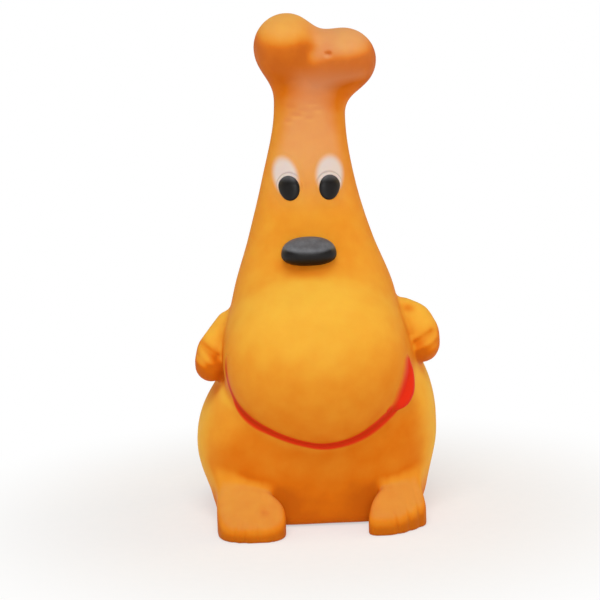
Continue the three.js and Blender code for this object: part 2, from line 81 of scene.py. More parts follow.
def pebble(x, y, z, centre, radii, lean=0, square=2):
    # a rounded lump that leans sideways by some degrees; a higher square fills its corners
    x, y, z = x - centre[0], y - centre[1], z - centre[2]
    if lean:
        c, s = math.cos(math.radians(lean)), math.sin(math.radians(lean))
        x, z = c * x - s * z, s * x + c * z
    across = [np.abs(v) / r + 1e-6 for v, r in zip((x, y, z), radii)]
    size = sum(v ** square for v in across) ** (1 / square)
    slope = np.sqrt(sum((v ** (square - 1) / r) ** 2 for v, r in zip(across, radii)))
    return (size - 1) * size ** (square - 1) / slope


def taper(x, y, z, start, end, startRadius, endRadius):
    # a rounded bar from one place to another
    start, along = np.array(start, float), np.subtract(end, start)
    x, y, z = x - start[0], y - start[1], z - start[2]
    t = np.clip((x * along[0] + y * along[1] + z * along[2]) / (along @ along), 0, 1)
    gap = np.sqrt((x - t * along[0]) ** 2 + (y - t * along[1]) ** 2 + (z - t * along[2]) ** 2)
    return gap - startRadius - (endRadius - startRadius) * t


def outline(x, y, corners, soft):
    # millimetres outside a shape in plan whose corners are rounded
    corners = np.array(corners, float)
    total = 0
    for corner, side in zip(corners, np.roll(corners, -1, 0) - corners):
        away = ((x - corner[0]) * side[1] - (y - corner[1]) * side[0]) / np.hypot(*side)
        total = total + np.exp(np.clip(away / soft, -40, 60))
    return soft * np.log(total)


# The latex skin: trunk rows are height, half width, half depth, centre x and y
skin = {
    "cell": 0.65,
    "trunk": [
        (0, 32.0, 31.5, 0.0, 0.5),
        (14, 34.5, 31.0, 0.0, 0.5),
        (40, 34.5, 31.5, 0.0, 0.0),
        (62, 32.0, 29.5, -0.5, 0.0),
        (80, 28.7, 26.0, -0.2, 0.5),
        (98, 22.4, 21.0, -0.8, 1.0),
        (118, 16.8, 16.0, -1.0, 1.5),
        (141, 12.7, 12.3, 0.1, 1.5),
        (158, 13.4, 12.5, 1.0, 1.0),
    ],
    "knobs": [
        ((-7.6, -0.5, 165.8), (11.2, 15.6, 11.6), 25),
        ((12.5, -0.5, 160.5), (11.6, 15.2, 11.2), 0),
    ],
    "knobJoin": 9.0,
    "neckJoin": 8.0,
    "haunches": [
        ((-30.9, 1.0, 26.8), (13.2, 23.0, 20.4), 4),
        ((29.9, 1.0, 34.0), (12.8, 23.0, 24.0), -4),
    ],
    "haunchJoin": 9.0,
    "shins": [
        ((-29.6, -8.0, 24.0), (-29.2, -13.0, 10.0), 9.2, 8.8),
        ((28.2, -8.0, 24.0), (27.4, -13.0, 10.0), 9.2, 8.8),
    ],
    "shinJoin": 8.0,
    "squareFront": 1.6,  # the low front is flat from thigh to thigh
    "squareBelow": (60, 34),
    "squareAhead": (4, -12),
    "trunkEnds": 4.0,  # rounding of the trunk's top and foot
    "muzzle": ((-0.5, -15.5, 55.6), (33.2, 29.5, 32.0)),
    "muzzleJoin": (1.2, 8.0, 6.0),  # crisp along the smile, softer over the top and at its right end
    "muzzleTop": (-1, 13),  # above its middle
    "muzzleRight": (12, 24),
    "baseRound": 0.8,
    "swell": 0.06,
    "room": ((-48, -58, -2), (48, 38, 182)),
}
muzzleCentre, muzzleRadii = (np.array(v) for v in skin["muzzle"])

# Feet: corners of the sole in plan with their roundness, and a top that slopes up and back from the
# middle of the toes, turned a little and falling off to both sides; the grooves part the toes
feet = {
    "left": {
        "corners": [
            (-37.2, -11.0, 4.0),
            (-38.0, -47.4, 12.8),
            (-12.9, -49.4, 10.4),
            (-13.6, -35.0, 4.0),
        ],
        "toes": (-25.0, -48.5, 4.1),
        "slope": 0.53,
        "turn": -5,
        "grooves": (-6.8, -3.6, 1.6),
        "grooveDepth": 0.28,
    },
    "right": {
        "corners": [
            (32.9, -11.0, 4.0),
            (15.2, -35.5, 4.0),
            (12.5, -46.2, 5.2),
            (24.8, -45.8, 11.0),
            (36.2, -35.2, 7.0),
        ],
        "toes": (21.5, -45.5, 5.1),
        "slope": 0.57,
        "turn": 8,
        "grooves": (3.2, 7.7, 11.9),
        "grooveDepth": 0.45,
    },
    "corner": 0.4,
    "edge": 3.0,
    "crown": 0.01,
    "grooveHalf": 0.9,
    "grooveReach": 8.0,
    "join": (2.4, 5.0),  # at the inner side and, as the shin runs down into the foot, at the outer
    "joinAcross": (25, 35),  # where the one goes over into the other
}

# Arms with curled paws: the run from shoulder to elbow has a radius at each place, and the grooves
# are front-view lines between the sleeve and the fingers, each with its depth
arms = {
    "left": {
        "run": [(-30.8, -1.0, 67.2, 5.4), (-36.8, -5.0, 59.8, 5.7)],
        "paw": (-37.9, -8.0, 54.7),
        "pawRadii": (5.9, 7.2, 6.1),
        "grooves": [
            ((-42.0, 63.0), (-36.0, 58.0), 0.85),
            ((-43.2, 58.8), (-38.6, 54.4), 0.45),
            ((-43.4, 54.8), (-40.6, 52.0), 0.3),
        ],
    },
    "right": {
        "run": [(30.6, -1.0, 68.7, 6.5), (34.6, -3.0, 66.0, 6.6), (37.2, -5.0, 63.0, 6.4)],
        "paw": (37.7, -8.0, 58.6),
        "pawRadii": (5.9, 7.2, 5.8),
        "grooves": [
            ((40.6, 63.6), (34.6, 60.4), 0.85),
            ((42.6, 60.2), (37.8, 57.6), 0.45),
            ((42.8, 56.6), (39.6, 54.8), 0.3),
        ],
    },
    "pawJoin": 4.0,
    "join": 2.2,
    "grooveHalf": 1.35,
    "grooveFade": 1.1,
    "grooveFront": (4, -2),  # behind and before the paw's middle
}

# Smile: a groove round the lower edge of the muzzle, by angle from the viewer's right and by the
# share of the muzzle's outline at which it lies
smilePath = {
    "places": [
        (168, 0.965), (185, 0.962), (197, 0.95), (206, 0.932), (214, 0.906), (221, 0.876),
        (228, 0.842), (238, 0.815), (255, 0.803), (271, 0.823), (288, 0.83), (302, 0.84),
        (312, 0.846), (321, 0.862), (331, 0.9), (336, 0.912),
    ],
    "depth": 0.5,
    "half": 1.0,
    "fades": (25, 8),  # degrees over which it comes in at the left and goes out at the right
}

# Casting flaws, by their place on the front: x, z, half width, half height, depth and the share of
# the yellow that is taken away there as painted shade in the pit
pitReach = 3.0
pits = [
    (6.5, 162.8, 1.0, 0.8, 0.55, 0.1),
    (-6.7, 144.6, 1.8, 0.8, 0.16, 0.0),
    (-4.7, 141.8, 2.0, 0.8, 0.22, 0.0),
    (-2.6, 143.3, 1.6, 0.8, 0.15, 0.0),
    (-7.6, 139.8, 1.3, 0.8, 0.17, 0.0),
    (0.6, 145.8, 2.0, 0.8, 0.14, 0.0),
    (2.7, 143.6, 1.5, 0.8, 0.15, 0.0),
    (-0.6, 140.6, 1.6, 0.8, 0.12, 0.0),
    (32.9, 72.4, 2.3, 1.7, 0.5, 0.5),
    (-21.1, 8.6, 1.1, 1.0, 0.4, 0.1),
]

# Squeaker's seat in the base: radii and the heights up to which they reach
seat = {
    "recess": 14.3,
    "recessTop": 2.0,
    "hole": 11.5,
    "wallTop": 3.4,
    "room": 14.6,
    "roomTop": 21.0,
    "edge": 0.4,
}

trunkRows = np.array(skin["trunk"], float)
trunkFine = np.arange(trunkRows[0, 0], trunkRows[-1, 0] + 0.25, 0.25)


def eased(places, values, fine):
    # a smooth curve through values at rising places
    places, values = np.asarray(places, float), np.asarray(values, float)
    slopes = np.gradient(values, places)
    i = np.clip(np.searchsorted(places, fine) - 1, 0, len(places) - 2)
    h = places[i + 1] - places[i]
    t = (fine - places[i]) / h
    start = (2 * t ** 3 - 3 * t ** 2 + 1) * values[i] + (t ** 3 - 2 * t ** 2 + t) * h * slopes[i]
    return start + (3 * t ** 2 - 2 * t ** 3) * values[i + 1] + (t ** 3 - t ** 2) * h * slopes[i + 1]


trunkCurves = [eased(trunkRows[:, 0], trunkRows[:, k], trunkFine) for k in (1, 2, 3, 4)]
trunkFlare = np.gradient(trunkCurves[0], trunkFine)


def trunkField(x, y, z):
    halfWidth, halfDepth, midX, midY = (np.interp(z, trunkFine, c) for c in trunkCurves)
    u, v = np.abs(x - midX) / halfWidth + 1e-6, np.abs(y - midY) / halfDepth + 1e-6
    lowFront = smoothStep(*skin["squareBelow"], z) * smoothStep(*skin["squareAhead"], y)
    power = 2 + skin["squareFront"] * lowFront
    size = (u ** power + v ** power) ** (1 / power)
    slope = np.sqrt((u ** (power - 1) / halfWidth) ** 2 + (v ** (power - 1) / halfDepth) ** 2)
    wall = size ** (power - 1) * (size - 1) / slope / np.sqrt(1 + np.interp(z, trunkFine, trunkFlare) ** 2)
    ends = np.maximum(trunkRows[0, 0] - z, z - trunkRows[-1, 0])
    return -meld(-wall, -ends, skin["trunkEnds"])


def soleOutline(corners, steps=6):
    # points round a sole with its corners rounded
    places = np.array(corners)[:, :2]
    points = []
    for n, (_, _, roundness) in enumerate(corners):
        before, after = places[n - 1] - places[n], places[(n + 1) % len(places)] - places[n]
        before, after = before / np.hypot(*before), after / np.hypot(*after)
        reach = roundness / math.tan(math.acos(before @ after) / 2)
        for t in np.linspace(0, 1, steps):
            points.append(places[n] + reach * ((1 - t) ** 2 * before + t ** 2 * after))
    return points


for side in ("left", "right"):
    feet[side]["outline"] = soleOutline(feet[side]["corners"])


def footField(x, y, z, foot):
    midX, midY, toeHeight = foot["toes"]
    c, s = math.cos(math.radians(foot["turn"])), math.sin(math.radians(foot["turn"]))
    across, back = c * (x - midX) + s * (y - midY), c * (y - midY) - s * (x - midX)
    top = toeHeight + foot["slope"] * back - feet["crown"] * across ** 2
    plan = outline(x, y, foot["outline"], feet["corner"])
    d = -meld(-plan, (top - z) / math.hypot(1, foot["slope"]), feet["edge"])
    atToes = smoothStep(-feet["grooveReach"], 0, plan)
    for place in foot["grooves"]:
        d = d + foot["grooveDepth"] * np.exp(-((across - place) / feet["grooveHalf"]) ** 2) * atToes
    return d


def grooveGap(x, z, start, end):
    # distance from a groove's line in the front view, counted larger at its outer end, where it fades
    gap = taper(x, 0 * x, z, (start[0], 0, start[1]), (end[0], 0, end[1]), 0, 0)
    alongX, alongZ = np.subtract(end, start)
    share = ((x - start[0]) * alongX + (z - start[1]) * alongZ) / (alongX ** 2 + alongZ ** 2)
    return np.hypot(gap, arms["grooveFade"] * (1 - np.clip(share, 0, 1)))


def armField(x, y, z, arm):
    d = pebble(x, y, z, arm["paw"], arm["pawRadii"])
    for (*start, startRadius), (*end, endRadius) in zip(arm["run"], arm["run"][1:]):
        d = meld(d, taper(x, y, z, start, end, startRadius, endRadius), arms["pawJoin"])
    front = smoothStep(*arms["grooveFront"], y - arm["paw"][1])
    for start, end, depth in arm["grooves"]:
        d = d + depth * np.exp(-(grooveGap(x, z, start, end) / arms["grooveHalf"]) ** 2) * front
    return d


def bodyField(x, y, z):
    knobs = [pebble(x, y, z, centre, radii, lean) for centre, radii, lean in skin["knobs"]]
    d = meld(trunkField(x, y, z), meld(knobs[0], knobs[1], skin["knobJoin"]), skin["neckJoin"])
    for centre, radii, lean in skin["haunches"]:
        d = meld(d, pebble(x, y, z, centre, radii, lean), skin["haunchJoin"])
    for shin in skin["shins"]:
        d = meld(d, taper(x, y, z, *shin), skin["shinJoin"])
    inner, outer = feet["join"]
    footJoin = inner + (outer - inner) * smoothStep(*feet["joinAcross"], np.abs(x))
    for side in ("left", "right"):
        d = meld(d, footField(x, y, z, feet[side]), footJoin)
        d = meld(d, armField(x, y, z, arms[side]), arms["join"])
    return d


smileAngles, smileOut = np.array(smilePath["places"]).T
smileFine = np.arange(smileAngles[0], smileAngles[-1] + 0.5, 0.5)
smileShares = eased(smileAngles, smileOut, smileFine)


def fromSmile(x, z):
    # millimetres outside the smile's line as seen from the front, and the angle round the muzzle
    across, up = (x - muzzleCentre[0]) / muzzleRadii[0], (z - muzzleCentre[2]) / muzzleRadii[2]
    angle = np.degrees(np.arctan2(up, across)) % 360
    return (np.hypot(across, up) - np.interp(angle, smileFine, smileShares)) * muzzleRadii[2], angle


def plainField(x, y, z):
    # the casting before its flaws: body and muzzle with the smile's groove
    crisp, above, rightEnd = skin["muzzleJoin"]
    join = crisp + (above - crisp) * smoothStep(*skin["muzzleTop"], z - muzzleCentre[2])
    join = np.maximum(join, crisp + (rightEnd - crisp) * smoothStep(*skin["muzzleRight"], x))
    d = meld(bodyField(x, y, z), pebble(x, y, z, muzzleCentre, muzzleRadii), join)
    off, angle = fromSmile(x, z)
    comes, goes = smilePath["fades"]
    ends = smoothStep(0, comes, angle - smileAngles[0]) * smoothStep(0, goes, smileAngles[-1] - angle)
    ends = ends * (y < 0)
    return d + smilePath["depth"] * np.exp(-np.minimum((off / smilePath["half"]) ** 2, 40)) * ends


def facePoint(x, z, field):
    # the foremost point of a form at a place on the front
    x, z = np.asarray(x, float).ravel(), np.asarray(z, float).ravel()
    y = np.full(len(x), -60.0)
    for _ in range(60):
        y = np.minimum(y + 0.8 * field(x, y, z), 0)
    return np.stack([x, y, z], 1)


pitX, pitZ, pitHalfX, pitHalfZ, pitDepth, pitShade = np.array(pits).T
pitPlaces = facePoint(pitX, pitZ, plainField)


def pitted(x, y, z, amounts):
    # what the flaws take away at each place
    total = 0
    for (atX, atY, atZ), halfX, halfZ, amount in zip(pitPlaces, pitHalfX, pitHalfZ, amounts):
        away = ((x - atX) / halfX) ** 2 + ((y - atY) / pitReach) ** 2 + ((z - atZ) / halfZ) ** 2
        total = total + amount * np.exp(-np.minimum(away, 40))
    return total


def castField(x, y, z):
    # millimetres outside the skin, negative within; hand-poured castings have long shallow swells
    swell = np.sin(x / 5.1 + 0.7) * np.sin(y / 6.3 + z / 9.7)
    swell = swell + np.sin(z / 4.3 + x / 8.1 + 1.9) * np.sin(y / 5.7)
    return plainField(x, y, z) + pitted(x, y, z, pitDepth) + skin["swell"] * swell


def skinField(x, y, z):
    # millimetres outside the closed casting, with its flat base and the squeaker's pocket
    d = pare(castField(x, y, z), z, skin["baseRound"])
    fromAxis = np.sqrt(x ** 2 + (y - squeakerBehindAxis) ** 2)
    for radius, top in ((seat["recess"], seat["recessTop"]), (seat["hole"], seat["wallTop"] + 1)):
        d = pare(d, np.maximum(fromAxis - radius, z - top), seat["edge"])
    room = np.maximum(np.maximum(fromAxis - seat["room"], z - seat["roomTop"]), seat["wallTop"] - z)
    return pare(d, room, seat["edge"])


# turning a field into a mesh

def gridOf(field, low, high, step, block=6):
    # a field's values on a grid, worked out cell by cell only in the blocks near its surface
    low, high = np.array(low, float), np.array(high, float)
    counts = np.ceil((high - low) / (step * block)).astype(int)
    corners = np.stack(np.meshgrid(*[np.arange(n) for n in counts], indexing="ij"), -1)
    centres = low + (corners + 0.5) * step * block
    value = field(*np.moveaxis(centres, -1, 0))
    grid = value.astype(np.float32)
    for axis in range(3):
        grid = np.repeat(grid, block, axis)
    offsets = np.stack(np.meshgrid(*[np.arange(block)] * 3, indexing="ij"), -1).reshape(-1, 3)
    near = corners[np.abs(value) < 1.6 * step * block]
    cells = (near[:, None, :] * block + offsets[None]).reshape(-1, 3)
    exact = field(*(low + cells * step).T)
    grid[tuple(cells.T)] = exact
    return grid, low


def netOf(grid, low, step):
    # one point in each cell that the surface crosses, one quad for each crossed grid line
    inside = grid < 0
    size = np.array(grid.shape) - 1
    corner = [np.array((i, j, k)) for i in (0, 1) for j in (0, 1) for k in (0, 1)]
    insideCount = sum(inside[tuple(slice(o, o + n) for o, n in zip(c, size))].astype(np.int8) for c in corner)
    active = (insideCount > 0) & (insideCount < 8)
    cells = np.argwhere(active)
    total, hits = np.zeros((len(cells), 3)), np.zeros(len(cells))
    for a in corner:
        for b in corner:
            if (b - a).sum() != 1 or np.abs(b - a).sum() != 1:
                continue
            fa, fb = grid[tuple((cells + a).T)], grid[tuple((cells + b).T)]
            crossed = (fa < 0) != (fb < 0)
            t = np.where(crossed, fa / np.where(crossed, fa - fb, 1), 0)
            total += np.where(crossed[:, None], a + t[:, None] * (b - a), 0)
            hits += crossed
    points = low + (cells + total / hits[:, None]) * step
    number = np.full(active.shape, -1)
    number[active] = np.arange(len(cells))
    quads = []
    for axis in range(3):
        u, v = (axis + 1) % 3, (axis + 2) % 3
        ahead = np.eye(3, dtype=int)[axis]
        first = inside[tuple(slice(0, n + 1 - o) for n, o in zip(size, ahead))]
        second = inside[tuple(slice(o, None) for o in ahead)]
        places = np.argwhere(first != second)
        across = places[:, [u, v]]
        places = places[((across > 0) & (across < size[[u, v]])).all(1)]
        outward = first[tuple(places.T)]
        ring = []
        for du, dv in ((1, 1), (0, 1), (0, 0), (1, 0)):
            cell = places.copy()
            cell[:, u] -= du
            cell[:, v] -= dv
            ring.append(number[tuple(cell.T)])
        quad = np.stack(ring, 1)
        quad[~outward] = quad[~outward][:, ::-1]
        quads.append(quad)
    return points, np.concatenate(quads)


def normalsAt(field, points, reach=0.08):
    slope = []
    for step in reach * np.eye(3):
        slope.append(field(*(points + step).T) - field(*(points - step).T))
    slope = np.stack(slope, 1) / (2 * reach)
    return slope / (np.linalg.norm(slope, axis=1, keepdims=True) + 1e-9)


def settle(field, points, rounds=3):
    # moves points along the field's slope onto the surface
    for _ in range(rounds):
        points = points - field(*points.T)[:, None] * normalsAt(field, points) * 0.95
    return points


def evenOut(points, quads, field, rounds):
    # slides each point towards the middle of its neighbours, keeping it on the surface
    start, end = np.concatenate([quads[:, [i, (i + 1) % 4]] for i in range(4)]).T
    degree = np.bincount(start, minlength=len(points))[:, None]
    for _ in range(rounds):
        sums = np.stack([np.bincount(start, points[end, k], len(points)) for k in range(3)], 1)
        points = settle(field, points + 0.5 * (sums / degree - points), 1)
    return settle(field, points, 2)


def meshOf(field, low, high, step, rounds=3):
    points, quads = netOf(*gridOf(field, low, high, step), step)
    points = evenOut(points, quads, field, rounds)
    return points, quads, normalsAt(field, points)


def meshPiece(name, points, faces, material, **marks):
    mesh = bpy.data.meshes.new(name)
    mesh.from_pydata(toFrame(points).tolist(), [], [list(map(int, f)) for f in faces])
    mesh.validate()
    mesh.polygons.foreach_set("use_smooth", [True] * len(mesh.polygons))
    for label, values in marks.items():
        mesh.attributes.new(label, "FLOAT", "POINT").data.foreach_set("value", np.asarray(values, np.float32))
    piece = bpy.data.objects.new(name, mesh)
    bpy.context.scene.collection.objects.link(piece)
    mesh.materials.append(material)
    return piece


# materials

def linear(hexColour):
    parts = [int(hexColour[i:i + 2], 16) / 255 for i in (0, 2, 4)]
    return [c / 12.92 if c <= 0.04045 else ((c + 0.055) / 1.055) ** 2.4 for c in parts] + [1.0]


def addNode(tree, kind, settings=None, **links):
    # links name an input, or its number after _, and give a socket or a node for its first output
    node = tree.nodes.new("ShaderNode" + kind)
    for key, value in (settings or {}).items():
        if isinstance(key, int) or key in node.inputs:
            node.inputs[key].default_value = value
        elif key == "colours":
            for element, colour in zip(node.color_ramp.elements, value):
                element.color = linear(colour)
        else:
            setattr(node, key, value)
    for key, source in links.items():
        socket = source if isinstance(source, bpy.types.NodeSocket) else source.outputs[0]
        tree.links.new(socket, node.inputs[int(key[1:]) if key[0] == "_" else key.replace("_", " ")])
    return node


def startMaterial(name):
    material = bpy.data.materials.new(name)
    material.use_nodes = True
    material.node_tree.nodes.clear()
    return material, material.node_tree


noiseRange = {"From Min": 0.3, "From Max": 0.7}  # where most of a noise texture's values lie

latex = {
    # tones run from painted deep shade and painted shade through the skin's own orange to painted light
    "deepShadeTone": "CC660E",
    "shadeTone": "DC7410",
    "hollowsAt": 0.18,
    "skin": "E8982C",
    "skinAt": 0.55,
    "litTone": "F2B840",
    # a painted pale sheen, and below it painted shade for the feet
    "bloom": "E4B896",
    "grime": "8C641C",
    "roughness": 0.56,
    "specular": 0.08,
    "sheen": "F2C880",
    "ior": 1.52,
    "subsurface": 0.2,
    "depthMm": 2.0,
    "scatter": (1.0, 0.42, 0.12),
    "grainMm": 0.5,  # real pores are finer; this is as coarse as they need to be to show
    "grainHeightMm": 0.2,
    "grainStrength": 0.12,
    "mottleMm": 7.0,
    "mottle": 0.07,
    "glossPatchMm": 12.0,
    "glossPatch": 0.05,
}


def coated(tree, colour, mark, hexColour):
    # a colour that lies over another wherever the mesh carries its mark
    share = addNode(tree, "Attribute", {"attribute_name": mark}).outputs["Fac"]
    mix = addNode(tree, "Mix", {"data_type": "RGBA", 7: linear(hexColour)}, _0=share, _6=colour)
    return mix.outputs[2]


def latexColour(tree):
    # painted light and shade: yellower where the skin faces the light and is out of shadow, deeper
    # orange in creases, under overhangs and in shadow; a painted pale sheen on the neck, knobs and feet,
    # and painted shade on the feet
    place = addNode(tree, "TexCoord").outputs["Object"]
    mottle = addNode(tree, "TexNoise", {"Scale": 1000 / latex["mottleMm"], "Detail": 3.0}, Vector=place)
    fullness = addNode(tree, "Attribute", {"attribute_name": "fullness"}).outputs["Fac"]
    drift = addNode(
        tree, "MapRange", {**noiseRange, "To Min": -latex["mottle"], "To Max": latex["mottle"]}, Value=mottle,
    )
    level = addNode(tree, "Math", {"operation": "ADD"}, _0=fullness, _1=drift)
    ramp = addNode(tree, "ValToRGB", Fac=level)
    for spot in (latex["hollowsAt"], latex["skinAt"]):
        ramp.color_ramp.elements.new(spot)
    for element, tone in zip(ramp.color_ramp.elements, ("deepShadeTone", "shadeTone", "skin", "litTone")):
        element.color = linear(latex[tone])
    withSheen = coated(tree, ramp, "bloom", latex["bloom"])
    return place, coated(tree, withSheen, "grime", latex["grime"])


def latexShader(tree, place, colour, roughness):
    # cured latex is satin, a little waxy, with a fine pore grain
    grain = addNode(tree, "TexNoise", {"Scale": 1000 / latex["grainMm"], "Detail": 2.0}, Vector=place)
    bump = addNode(
        tree, "Bump",
        {"Strength": latex["grainStrength"], "Distance": latex["grainHeightMm"] / 1000},
        Height=grain,
    )
    patches = addNode(
        tree, "TexNoise", {"Scale": 1000 / latex["glossPatchMm"], "Detail": 2.0}, Vector=place,
    )
    low, high = roughness - latex["glossPatch"], roughness + latex["glossPatch"]
    gloss = addNode(tree, "MapRange", {**noiseRange, "To Min": low, "To Max": high}, Value=patches)
    shader = addNode(
        tree,
        "BsdfPrincipled",
        {
            "IOR": latex["ior"],
            "Subsurface Weight": latex["subsurface"],
            "Subsurface Radius": latex["scatter"],
            "Subsurface Scale": latex["depthMm"] / 1000,
            "Specular IOR Level": latex["specular"],
            "Specular Tint": linear(latex["sheen"]),
        },
        Base_Color=colour,
        Roughness=gloss,
        Normal=bump,
    )
    addNode(tree, "OutputMaterial", Surface=shader)


def pouredLatex():
    # natural rubber latex poured in a plaster mould: satin orange, soft at the edges of light
    material, tree = startMaterial("natural_latex_poured_orange")
    place, colour = latexColour(tree)
    latexShader(tree, place, colour, latex["roughness"])
    return material


paints = {
    # the second colour of each paint is painted shade for grooves and raised edges
    "white": {"colour": "DFCFC8", "seam": "8C7B72", "roughness": 0.55},
    "red": {"colour": "E43018", "seam": "BE380C", "roughness": 0.5},
}


def airbrushedPaint(name):
    # latex paint from an airbrush: solid in the middle, thinning into the skin's colour at its edge,
    # with painted shade in the grooves and along the raised edges it lies in
    look = paints[name]
    material, tree = startMaterial(f"latex_paint_airbrushed_{name}")
    place, colour = latexColour(tree)
    colour = coated(tree, colour, "paint", look["colour"])
    colour = coated(tree, colour, "seam", look["seam"])
    latexShader(tree, place, colour, look["roughness"])
    return material


blackLatex = {
    "dark": ("0B0808", "151110"),
    # grey tones for the painted highlight on the upper faces
    "highlightTone": ("646569", "7C7E83"),
    "peelMm": 0.9,
    "peelHeightMm": 0.2,
    "peelStrength": 0.25,
    "patchMm": 3.0,
    "patchHighlight": (0.6, 1.0),
    "ior": 1.5,
    "specular": 0.26,
    "roughness": (0.34, 0.5),
}


def satinBlack():
    # latex paint sprayed thick and black over raised places: satin orange peel, with a painted grey
    # highlight on its upper faces
    material, tree = startMaterial("latex_paint_sprayed_black")
    place = addNode(tree, "TexCoord").outputs["Object"]
    peel = addNode(tree, "TexNoise", {"Scale": 1000 / blackLatex["peelMm"], "Detail": 3.0}, Vector=place)
    patches = addNode(
        tree, "TexNoise", {"Scale": 1000 / blackLatex["patchMm"], "Detail": 3.0}, Vector=place,
    )
    dark = addNode(tree, "ValToRGB", {"colours": blackLatex["dark"]}, Fac=peel)
    highlightTone = addNode(tree, "ValToRGB", {"colours": blackLatex["highlightTone"]}, Fac=peel)
    dust = addNode(tree, "Attribute", {"attribute_name": "dust"}).outputs["Fac"]
    least, most = blackLatex["patchHighlight"]
    clumps = addNode(tree, "MapRange", {**noiseRange, "To Min": least, "To Max": most}, Value=patches)
    share = addNode(tree, "Math", {"operation": "MULTIPLY"}, _0=dust, _1=clumps)
    tone = addNode(tree, "Mix", {"data_type": "RGBA"}, _0=share, _6=dark, _7=highlightTone)
    bump = addNode(
        tree, "Bump",
        {"Strength": blackLatex["peelStrength"], "Distance": blackLatex["peelHeightMm"] / 1000},
        Height=peel,
    )
    glossy, dull = blackLatex["roughness"]
    gloss = addNode(tree, "MapRange", {"To Min": glossy, "To Max": dull}, Value=peel)
    shader = addNode(
        tree, "BsdfPrincipled",
        {"IOR": blackLatex["ior"], "Specular IOR Level": blackLatex["specular"]},
        Base_Color=tone.outputs[2], Roughness=gloss, Normal=bump,
    )
    addNode(tree, "OutputMaterial", Surface=shader)
    return material


plastics = {
    "ior": 1.51,
    "glossSpread": 0.06,
    "cloudHeightMm": 0.2,
    "cloudStrength": 0.08,
    "polyethylene_moulded_white": {"colours": ("DADAD4", "ECECE8"), "roughness": 0.42, "cloudMm": 5.0},
    "polyester_film_cut": {"colours": ("CFC8B4", "DED8C8"), "roughness": 0.28, "cloudMm": 3.0},
}


def cloudyPlastic(name):
    # polyethylene out of a mould, or cut film: waxy white with faint flow clouds
    look = plastics[name]
    material, tree = startMaterial(name)
    place = addNode(tree, "TexCoord").outputs["Object"]
    clouds = addNode(tree, "TexNoise", {"Scale": 1000 / look["cloudMm"], "Detail": 4.0}, Vector=place)
    tone = addNode(tree, "ValToRGB", {"colours": look["colours"]}, Fac=clouds)
    bump = addNode(
        tree, "Bump",
        {"Strength": plastics["cloudStrength"], "Distance": plastics["cloudHeightMm"] / 1000},
        Height=clouds,
    )
    glossy, dull = look["roughness"] - plastics["glossSpread"], look["roughness"] + plastics["glossSpread"]
    gloss = addNode(tree, "MapRange", {"To Min": glossy, "To Max": dull}, Value=clouds)
    shader = addNode(
        tree, "BsdfPrincipled", {"IOR": plastics["ior"]}, Base_Color=tone, Roughness=gloss, Normal=bump,
    )
    addNode(tree, "OutputMaterial", Surface=shader)
    return material


skinLatex = pouredLatex()
eyePaint = airbrushedPaint("white")
redPaint = airbrushedPaint("red")
blackPaint = satinBlack()
squeakerPlastic = cloudyPlastic("polyethylene_moulded_white")
reedFilm = cloudyPlastic("polyester_film_cut")
print("materials made")

# Painted light and shade in the skin's colour: yellow stands for light from above, in front and from the
# sides, deep orange for shade in creases, under overhangs and in shadow. Each entry is how much of the
# full yellow a kind of place gets or loses. Where two values follow a share, it comes in between them,
# and a pair is where a place begins and is full, in millimetres or by how much the surface leans
shade = {
    "paintedLightFrom": (-0.03, -0.4, 0.92),  # towards the light that the painted light and shadow fall from
    "creaseReach": (2.5, 7.0),
    "shadowReach": (6.0, 12.0, 20.0, 30.0),
    "shadowSoft": 0.3,
    "shadowLeast": 0.3,
    "bare": 0.26,
    "faced": (0.34, 0.25, 0.75),
    "upward": (0.12, 0.65, 1),
    "muzzle": (0.26, -0.8, 0.5),
    "muzzleEdge": (0.3, 2.5),
    "muzzleRight": (0.06, 0.1, 0.9),
    "arm": (0.24, 0.2, 0.6),
    "armEdge": (0, 2),
    "armAbovePaw": (-2, 5),
    # painted shade under the paws and in the crease of the cuff above them
    "pawUnder": (0.55, 0.16),  # left and right
    "pawUnderFrom": (5, -3),
    "cuff": 0.42,
    "cuffHalf": 2.0,
    # painted light lifting the shadow below the left arm
    "belowArm": {"share": 0.5, "middle": (-30.5, 47.0), "half": (5.5, 5.0), "fade": (1.4, 0.4), "ahead": 5},
    # painted shadow under the nose
    "underNose": {"share": 0.32, "middle": (-3.0, 90.4), "half": (10.5, 4.0), "fade": (1.3, 0.5), "ahead": 0},
    # painted light on the sides and along the hips
    "side": (0.2, 0.4, 0.95),
    "sideTop": (152, 140),
    "hipLeft": (0.5, 0.78, 1),
    "hipRight": (0.5, 0.6, 0.97),
    "hipTop": (62, 48),
    "hipFoot": (6, 16),
    "hipBack": (30, 4),
    # painted shade in creases, towards the floor, on the knobs' fronts and over the right knob
    "creased": 0.42,
    "lowFront": (0.26, 22, 4),
    "knobFront": (0.2, 146, 156),
    "knobShadow": (0.6, 0.2),
    "rightKnob": (0.2, 148, 156),
    "towardsRight": (-2, 6),
    # painted pale sheen on the neck, the knobs and the foot tops
    "sheenNeck": (0.3, 105, 130),
    "neckTop": (160, 151),
    "neckSides": (1, 0.5),
    "sheenKnobs": (0.16, 0.34),  # left and right
    "knobsFrom": (150, 160),
    "sheenUnder": 0.2,
    "sheenUpward": (0.8, 0.45, 0.85),
    "sheenFeet": 0.1,
    # painted shade on the foot tops and the low toe fronts
    "footTopShade": 0.07,
    "footSlope": (0.5, 0.8),
    "footTop": (26, 18),
    "toeShade": (0.2, 0.6, 0.1),
    "toeShadeBelow": (10, 4),
    "toeShadeAhead": -33,
}


def ovalShare(points, centre, half, lean=0):
    # 0 at the middle of an oval on the face, 1 at its edge
    c, s = math.cos(math.radians(lean)), math.sin(math.radians(lean))
    x, z = points[:, 0] - centre[0], points[:, 2] - centre[1]
    return np.hypot((c * x - s * z) / half[0], (c * z + s * x) / half[1])


